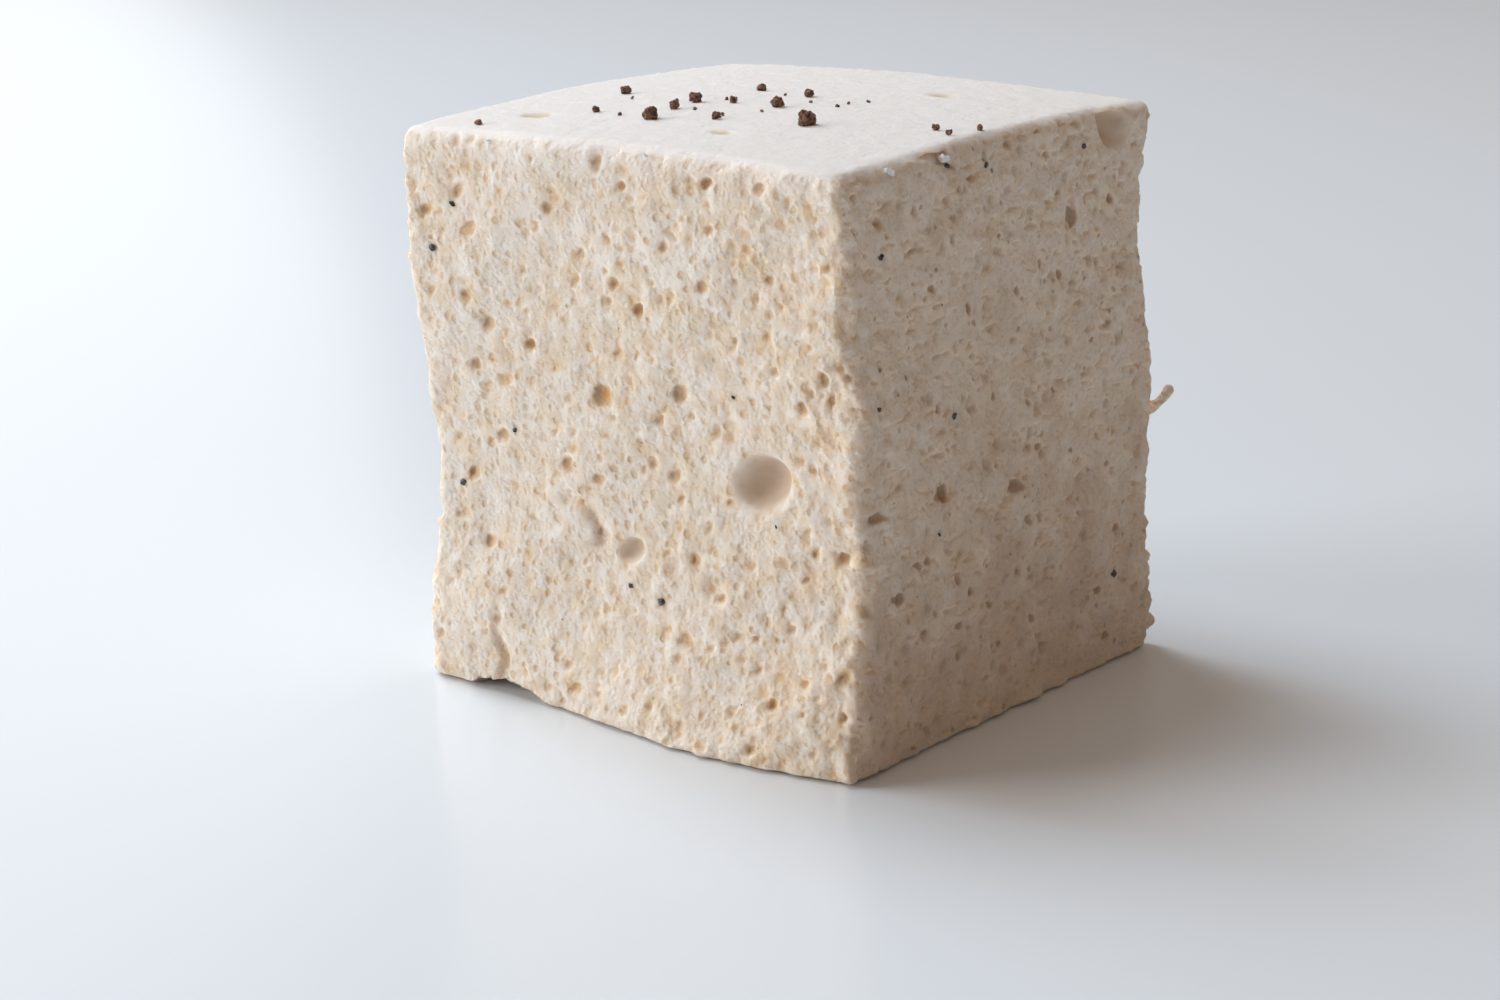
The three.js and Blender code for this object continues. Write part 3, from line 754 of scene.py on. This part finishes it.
def torn_foam(net, mesh):
    """Tears the cut sides into foam, and keeps on each point what the finish needs."""
    place = net.node("GeometryNodeInputPosition")
    facing = net.node("GeometryNodeInputNormal")
    at = net.apart(place)
    towards = net.apart(facing)
    bowl = net.node("GeometryNodeInputNamedAttribute", {"data_type": "FLOAT"}, {"Name": "bowl"})
    u = at["X"] / (WIDTH / 2)
    v = at["Y"] / (DEPTH / 2)
    under_skin = at["Z"] - (HEIGHT + skin_rise(u, v))
    skin = net.smooth(towards["Z"] + (net.noise(place, 0.8) - 0.5) * 0.8, 0.45, 0.85)
    skin = skin * net.smooth(under_skin, -1.3, -0.9)
    coarse = net.smooth(towards["X"] * -1 - towards["Y"], 0.1, 0.7)
    least = net.math("MINIMUM", net.math("ABSOLUTE", u), net.math("ABSOLUTE", v))
    corner = net.smooth(least, 0.86, 1.0)
    near_corner = net.smooth(u - v, 1.2, 1.8)
    made = foam_patterns(net, place)
    wild = made["wild"]
    broad = (
        (made["hill"] - 0.5) * 0.46
        + (made["lump"] - 0.5) * (0.17 + wild * 0.11)
        + (made["clot"] - 0.6) * (0.02 + wild * 0.07)
        + made["strand"] * near_corner * 0.08
        - made["wide"] * 0.2
    )
    fine = (
        (made["hill"] - 0.5) * 0.6
        + (made["lump"] - 0.5) * 0.42
        - made["slit"] * 0.18
        - made["wide"] * 0.15
    )
    calm = (1 - net.smooth(bowl, 0.0, 0.15) * 0.85) * (1 - net.smooth(u + v, 2.01, 2.05))
    height = (fine + (broad - fine) * coarse) * calm * (1 - skin * 0.9)
    height = height + (made["lump"] - 0.5) * skin * 0.08
    ragged = (net.noise(place, 2.3, 3.0, 0.6) - 0.53) * corner * (0.5 + near_corner * 2.2)
    ragged = ragged * (1 - skin * 0.5) * calm
    outward = net.node(
        "ShaderNodeCombineXYZ", {}, {0: net.math("SIGN", u) * 0.71, 1: net.math("SIGN", v) * 0.71}
    )
    foot = 1 - net.smooth(at["Z"], 0.5, 2.0)
    sideways = net.vector("MULTIPLY", facing, (1, 1, 0))
    upright = net.vector("MULTIPLY", facing, (0, 0, 1))
    swell = (net.noise(place, 1.6, 2.0) - 0.5) * foot * 0.9
    upper = net.smooth(at["Z"], 0.0, 0.9)
    push = net.scaled(sideways, height)
    for way, amount in ((upright, height * upper), (outward, ragged), (sideways, swell)):
        push = net.vector("ADD", push, net.scaled(way, amount))
    # Painted shade: wide pores, the slits of the fine sides and the creases between clots are kept here to
    # be painted darker.
    hollow = made["wide"] * (wild * 0.15 + 0.42 + coarse * 0.23)
    hollow = hollow + made["slit"] * (1 - coarse) * 0.55
    crease = net.smooth(made["clot"], 0.35, 0.1) * wild * coarse
    crown = net.smooth(made["clot"], 0.5, 0.85) * wild
    dust = net.smooth(under_skin + (net.noise(place, 1.2) - 0.5) * 1.5, -2.2, -0.3) * coarse
    blotch = (net.noise(place, 3.0, 1.0) - 0.5) * 2.2
    # Partly painted glow: the upright corners turn toffee-coloured, as if light shone through them, on top
    # of the real toffee patches and clot crowns.
    toffee = net.clamp(made["toffee"] + crown * 0.35 + corner * 0.25)
    values = {
        "skin": net.clamp(skin + dust * 0.45),
        "coarse": coarse,
        "hollow": net.clamp(hollow + crease * 0.4),
        "toffee": toffee * (0.45 + coarse * 0.55) * calm,
        "rosy": made["rosy"],
        "pale": made["pale"],
        # Painted shade: the fine sides go darker towards the bottom, in blotches.
        "low": net.clamp(1 - net.smooth(at["Z"], 0, 22) + blotch) * (1 - coarse) * (1 - skin),
    }
    kept = store(net, mesh, "smooth_place", "FLOAT_VECTOR", place)
    for name, value in values.items():
        kept = store(net, kept, name, "FLOAT", value)
    return net.node("GeometryNodeSetPosition", {}, {"Geometry": kept, "Offset": push})


def thin_out(block):
    triangles = sum(len(face.vertices) - 2 for face in block.data.polygons)
    apply_modifier(block, "DECIMATE", ratio=BLOCK_TRIANGLES / triangles)


def to_metres(piece):
    """From the block's own axis in millimetres to the solid's frame in metres."""
    piece.data.transform(Matrix.Scale(MM, 4) @ Matrix.Translation(-MIDDLE))
    piece.data.update()


def foam_block():
    block = sharp_block()
    shape_block(block)
    add_crumbs(block)
    run_nodes(block, "torn_foam", torn_foam)
    thin_out(block)
    to_metres(block)
    select_only(block)
    bpy.ops.object.shade_smooth()
    return block


# ---- the coffee ----


def skin_point(x, y):
    return Vector(shaped(np.array([[x, y, HEIGHT]], float))[0])


def ground_lumps():
    """Each ground on the skin as a core with a few crumbs clinging to it."""
    random = make_random(GROUND_SEED)
    crumbs = make_random(CRUMB_SEED)
    placed = list(COARSE_GROUNDS)
    while len(placed) < len(COARSE_GROUNDS) + FINE_GROUNDS:
        x = GROUND_PATCH["x"] + (next(random) * 2 - 1) * GROUND_PATCH["half_width"]
        y = GROUND_PATCH["y"] + (next(random) * 2 - 1) * GROUND_PATCH["half_depth"]
        reach = FINE_GROUND_RADIUS + GROUND_GAP
        if all(math.hypot(px - x, py - y) > r + reach for px, py, r in placed):
            placed.append((x, y, FINE_GROUND_RADIUS))
    lumps = []
    for x, y, drawn in placed:
        radius = drawn * (FLAKE_SIZE if drawn == FINE_GROUND_RADIUS else 1)
        centre = skin_point(x, y) + Vector((0, 0, radius * GROUND_LIFT))
        long, wide = [radius * (least + 0.25 * next(random)) for least in (0.7, 0.6)]
        half_sizes = (long, wide, radius * 0.65)
        next(random)  # a spare draw, which keeps the later ones as they are
        turns = [next(random) * math.pi for _ in range(3)]
        lumps.append((centre, half_sizes, turns))
        for _ in range(GROUND_CRUMBS):
            around = next(crumbs) * math.tau
            rise = next(crumbs) * 1.5 - 0.6
            out = Vector((math.cos(around), math.sin(around), rise)).normalized()
            size = radius * (0.2 + 0.3 * next(crumbs))
            crumb = [size * (0.6 + 0.5 * next(crumbs)) for _ in range(3)]
            lumps.append((centre + out * radius * 0.62, crumb, (around, rise, 0)))
    return lumps


def crumple(piece, size, amount):
    """Pushes a piece's points in and out, in lumps of that size."""

    def pushed(net, mesh):
        place = net.node("GeometryNodeInputPosition")
        sockets = {"Geometry": mesh, "Offset": net.shove(place, size, amount, 0.6)}
        return net.node("GeometryNodeSetPosition", {}, sockets)

    run_nodes(piece, "crumple", pushed)


def coffee_grounds():
    grounds = joined_lumps("coffee_grounds", ground_lumps(), 3)
    apply_modifier(grounds, "REMESH", mode="VOXEL", voxel_size=GROUND_GRAIN)
    for size, amount in GROUND_CRUMPLES:
        crumple(grounds, size, amount)
    to_metres(grounds)
    return grounds


def sunk_bits(name, places):
    """Uneven bits that sit in the cut sides, as one piece."""
    lumps = []
    random = make_random(BIT_SEED)
    for side, along, up, radius in places:
        turns = [next(random) * math.pi for _ in range(3)]
        wide, high = [radius * (0.7 + 0.3 * next(random)) for _ in range(2)]
        lumps.append((side_point(side, along, up), (radius, wide, high), turns))
    bits = joined_lumps(name, lumps, 3)
    crumple(bits, *BIT_CRUMPLE)
    to_metres(bits)
    return bits


# ---- finishes ----


def material(name):
    made = bpy.data.materials.new(name)
    made.use_nodes = True
    made.node_tree.nodes.clear()
    return made, Net(made.node_tree)


def finish_surface(net, sockets, settings=None):
    shader = net.node("ShaderNodeBsdfPrincipled", settings, sockets)
    net.node("ShaderNodeOutputMaterial", {}, {"Surface": shader})


# Paler tone for the random pale patches, also a painted highlight where the fine threads stand up.
PALE_AND_RIDGE_HIGHLIGHT = (0.915, 0.86, 0.795, 1)
WALL = (0.85, 0.75, 0.63, 1)
# Painted highlight for the raised web of the fine bump.
WEB_HIGHLIGHT = (0.92, 0.875, 0.81, 1)
TOFFEE = (0.82, 0.64, 0.42, 1)
ROSY = (0.80, 0.60, 0.49, 1)
# Painted shade for the pores, pits, slits and creases of the coarse sides, in a warm tan.
HOLLOW_SHADE = (0.76, 0.55, 0.34, 1)
# Painted glow: the orange of light shining through the foam in deep pits.
DEEP_PIT_GLOW = (0.84, 0.46, 0.16, 1)
# Painted shade for the burst bubbles' bowls, deepest at their floors.
BUBBLE_SHADE = (0.62, 0.475, 0.345, 1)
FINE_CUT = (0.82, 0.715, 0.61, 1)
# Painted shade for the pores, pits and slits of the fine sides, darker still.
FINE_HOLLOW_SHADE = (0.40, 0.28, 0.19, 1)
# Painted shade for the lower parts of the fine sides.
FINE_LOW_SHADE = (0.60, 0.48, 0.38, 1)
SKIN = (0.875, 0.83, 0.80, 1)
# Painted shade for the shallow dents in the skin.
DENT_SHADE = (0.68, 0.53, 0.35, 1)
SPECK = (0.28, 0.13, 0.09, 1)
GROUND_COLOURS = ((0.05, 0.025, 0.018, 1), (0.30, 0.15, 0.10, 1))
SUNK_COLOURS = ((0.02, 0.02, 0.025, 1), (0.16, 0.15, 0.15, 1))
SUGAR_WHITE = (0.93, 0.94, 0.97, 1)
TABLE_WHITE = (0.845, 0.89, 0.945, 1)

FINE_CELL = 0.8  # of the finest pores, in mm
FROTH_CELL = 0.38
FOAM_BUMP = 0.0001
GROUND_BUMP = 0.00005
GLOW_DEPTH = 0.0007  # how far light travels inside the foam


def kept_value(net, name, out="Fac"):
    return net.node("ShaderNodeAttribute", {"attribute_name": name}, out=out)


def foam_finish():
    made, net = material("coffee_foam")
    place = kept_value(net, "smooth_place", "Vector")
    skin = kept_value(net, "skin")
    coarse = kept_value(net, "coarse")
    bowl = kept_value(net, "bowl")
    pit = kept_value(net, "pit")
    open_wall = 1 - net.smooth(bowl, 0.0, 0.15)
    cells = net.node("ShaderNodeTexVoronoi", {}, {"Vector": place, "Scale": 1 / FINE_CELL})
    draw = net.apart(cells["Color"])
    reach = cells["Distance"] * FINE_CELL
    radius = (draw["X"] * 0.24 + 0.18) * (0.65 + coarse * 0.35)
    mouth = 1 - net.smooth(reach, radius * 0.35, radius)
    small = mouth * net.math("LESS_THAN", draw["Y"], 0.35 + coarse * 0.5)
    strong = 0.4 + draw["Z"] ** 2 * 0.6
    speck = net.math("GREATER_THAN", draw["Y"], 0.985) * (1 - net.smooth(reach, 0.04, 0.08))
    speck = speck * (1 - skin)
    froth = net.node("ShaderNodeTexVoronoi", {}, {"Vector": place, "Scale": 1 / FROTH_CELL})
    dimple = (1 - net.smooth(froth["Distance"], 0.12, 0.62)) * open_wall
    thread = net.noise(place, 0.3, 1.0)
    web = 1 - net.smooth(net.math("ABSOLUTE", thread - 0.5), 0.0, 0.07)
    # Painted shade: the colour that every hollow below is painted with.
    cut = net.blend(coarse, FINE_HOLLOW_SHADE, HOLLOW_SHADE)
    # Partly painted highlight: the random pale tone, made paler still where the fine threads of the bump
    # stand up.
    colour = net.blend(net.clamp(kept_value(net, "pale") + (thread - 0.5) * 1.2), WALL, PALE_AND_RIDGE_HIGHLIGHT)
    colour = net.blend((1 - coarse) * 0.65, colour, FINE_CUT)
    # Painted shade, darker towards the bottom of the fine sides.
    colour = net.blend(kept_value(net, "low") * 0.8, colour, FINE_LOW_SHADE)
    # Toffee patches and clot crowns, and painted glow along the upright corners.
    colour = net.blend(kept_value(net, "toffee") * 0.5, colour, TOFFEE)
    colour = net.blend(kept_value(net, "rosy") * (1 - web) * 0.2, colour, ROSY)
    # Painted shade in the small pores, the dimples, the kept hollows and the pits.
    colour = net.blend(small * strong * open_wall, colour, cut)
    colour = net.blend(dimple * (0.1 + coarse * 0.06), colour, cut)
    # Painted highlight: the raised web of the bump is painted paler.
    colour = net.blend(web * (0.1 + coarse * 0.08) * open_wall, colour, WEB_HIGHLIGHT)
    colour = net.blend(kept_value(net, "hollow") * 0.85, colour, cut)
    colour = net.blend(net.smooth(pit, 0, coarse * 0.12 + 0.18) * 0.85, colour, cut)
    # Painted glow: deep pits on the coarse sides turn orange, as if light shone through the foam.
    colour = net.blend(net.smooth(pit, 0.35, 0.6) * coarse, colour, DEEP_PIT_GLOW)
    # Painted shade: the bowls of the burst bubbles go darker towards their floors.
    colour = net.blend(net.smooth(bowl, 0.0, 1.2) * 0.7, colour, BUBBLE_SHADE)
    # The painted shade of the dimples shows faintly through the skin too.
    colour = net.blend(skin * (0.98 - dimple * 0.06), colour, SKIN)
    # Painted shade in the skin's dents.
    colour = net.blend(kept_value(net, "dent") * 0.9, colour, DENT_SHADE)
    colour = net.blend(speck, colour, SPECK)
    relief = web * 0.2 + thread * 0.35 - dimple * 0.7 - small * (0.6 + strong)
    relief = relief * (1 - skin * 0.8) * open_wall
    sockets = {
        "Base Color": colour,
        "Roughness": 0.85,
        "Subsurface Weight": 1.0,
        "Subsurface Radius": (1.0, 0.7, 0.45),
        "Subsurface Scale": GLOW_DEPTH,
        "Specular IOR Level": 0.2,
        "Normal": net.bump(relief, FOAM_BUMP),
    }
    finish_surface(net, sockets, {"subsurface_method": "BURLEY"})
    return made


def coffee_finish(name, dark, light):
    made, net = material(name)
    place = net.node("ShaderNodeTexCoord", {}, out="Object")
    mm = net.scaled(place, 1000)
    colour = net.blend(net.smooth(net.noise(mm, 0.22, 3.0), 0.35, 0.64), dark, light)
    bump = net.bump(net.noise(mm, 0.1, 3.0), GROUND_BUMP, 0.6)
    finish_surface(net, {"Base Color": colour, "Roughness": 0.7, "Normal": bump})
    return made


def sugar_finish():
    made, net = material("icing_sugar")
    finish_surface(net, {"Base Color": SUGAR_WHITE, "Roughness": 0.6})
    return made


def dress(piece, finish):
    piece.data.materials.clear()
    piece.data.materials.append(finish)
    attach(piece, "root")
    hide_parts("marshmallow")


# ---- the studio ----


def table_top():
    bpy.ops.object.select_all(action="DESELECT")
    bpy.ops.mesh.primitive_plane_add(size=4, location=(0, 0, -TABLE_DROP))
    floor = bpy.context.object
    floor.name = "table"
    made, net = material("pale_table")
    finish_surface(net, {"Base Color": TABLE_WHITE, "Roughness": 0.22})
    floor.data.materials.append(made)


def soft_light(name, heading, height, power, colour):
    """A round soft light over the table, turned to the block."""
    around, above = math.radians(heading), math.radians(height)
    level = math.cos(above)
    towards = Vector((math.cos(around) * level, math.sin(around) * level, math.sin(above)))
    light = bpy.data.lights.new(name, "AREA")
    light.shape = "DISK"
    light.size = LIGHT_SIZE
    light.energy = power
    light.color = colour
    holder = bpy.data.objects.new(name, light)
    holder.location = LIGHT_TARGET + towards * LIGHT_AWAY
    holder.rotation_euler = towards.to_track_quat("Z", "Y").to_euler()
    bpy.context.collection.objects.link(holder)


def lights():
    for light in LIGHTS:
        soft_light(*light)
    world = bpy.data.worlds.new("warm_room")
    world.use_nodes = True
    world.node_tree.nodes["Background"].inputs["Color"].default_value = ROOM
    bpy.context.scene.world = world
    bpy.context.scene.view_settings.view_transform = "Standard"


def camera():
    made = bpy.data.cameras.new("camera")
    made.lens = CAMERA_LENS
    made.sensor_width = CAMERA_SENSOR
    made.clip_start = 0.01
    holder = bpy.data.objects.new("camera", made)
    a, e, r = CAMERA_AZIMUTH, CAMERA_ELEVATION, CAMERA_ROLL
    back = Vector((math.sin(a) * math.cos(e), -math.cos(a) * math.cos(e), math.sin(e)))
    level = Vector((0, 0, 1)).cross(back).normalized()
    upright = back.cross(level)
    right = level * math.cos(r) + upright * math.sin(r)
    up = upright * math.cos(r) - level * math.sin(r)
    turn = Matrix((right, up, back)).transposed().to_4x4()
    holder.matrix_world = Matrix.Translation((CAMERA_PLACE - MIDDLE) * MM) @ turn
    bpy.context.collection.objects.link(holder)
    bpy.context.scene.camera = holder


camera()
dress(foam_block(), foam_finish())
dress(coffee_grounds(), coffee_finish("dark_grounds", *GROUND_COLOURS))
dress(sunk_bits("icing_sugar_specks", SUGAR), sugar_finish())
dress(
    sunk_bits("embedded_coffee", EMBEDDED), coffee_finish("sunk_coffee", *SUNK_COLOURS)
)
table_top()
lights()
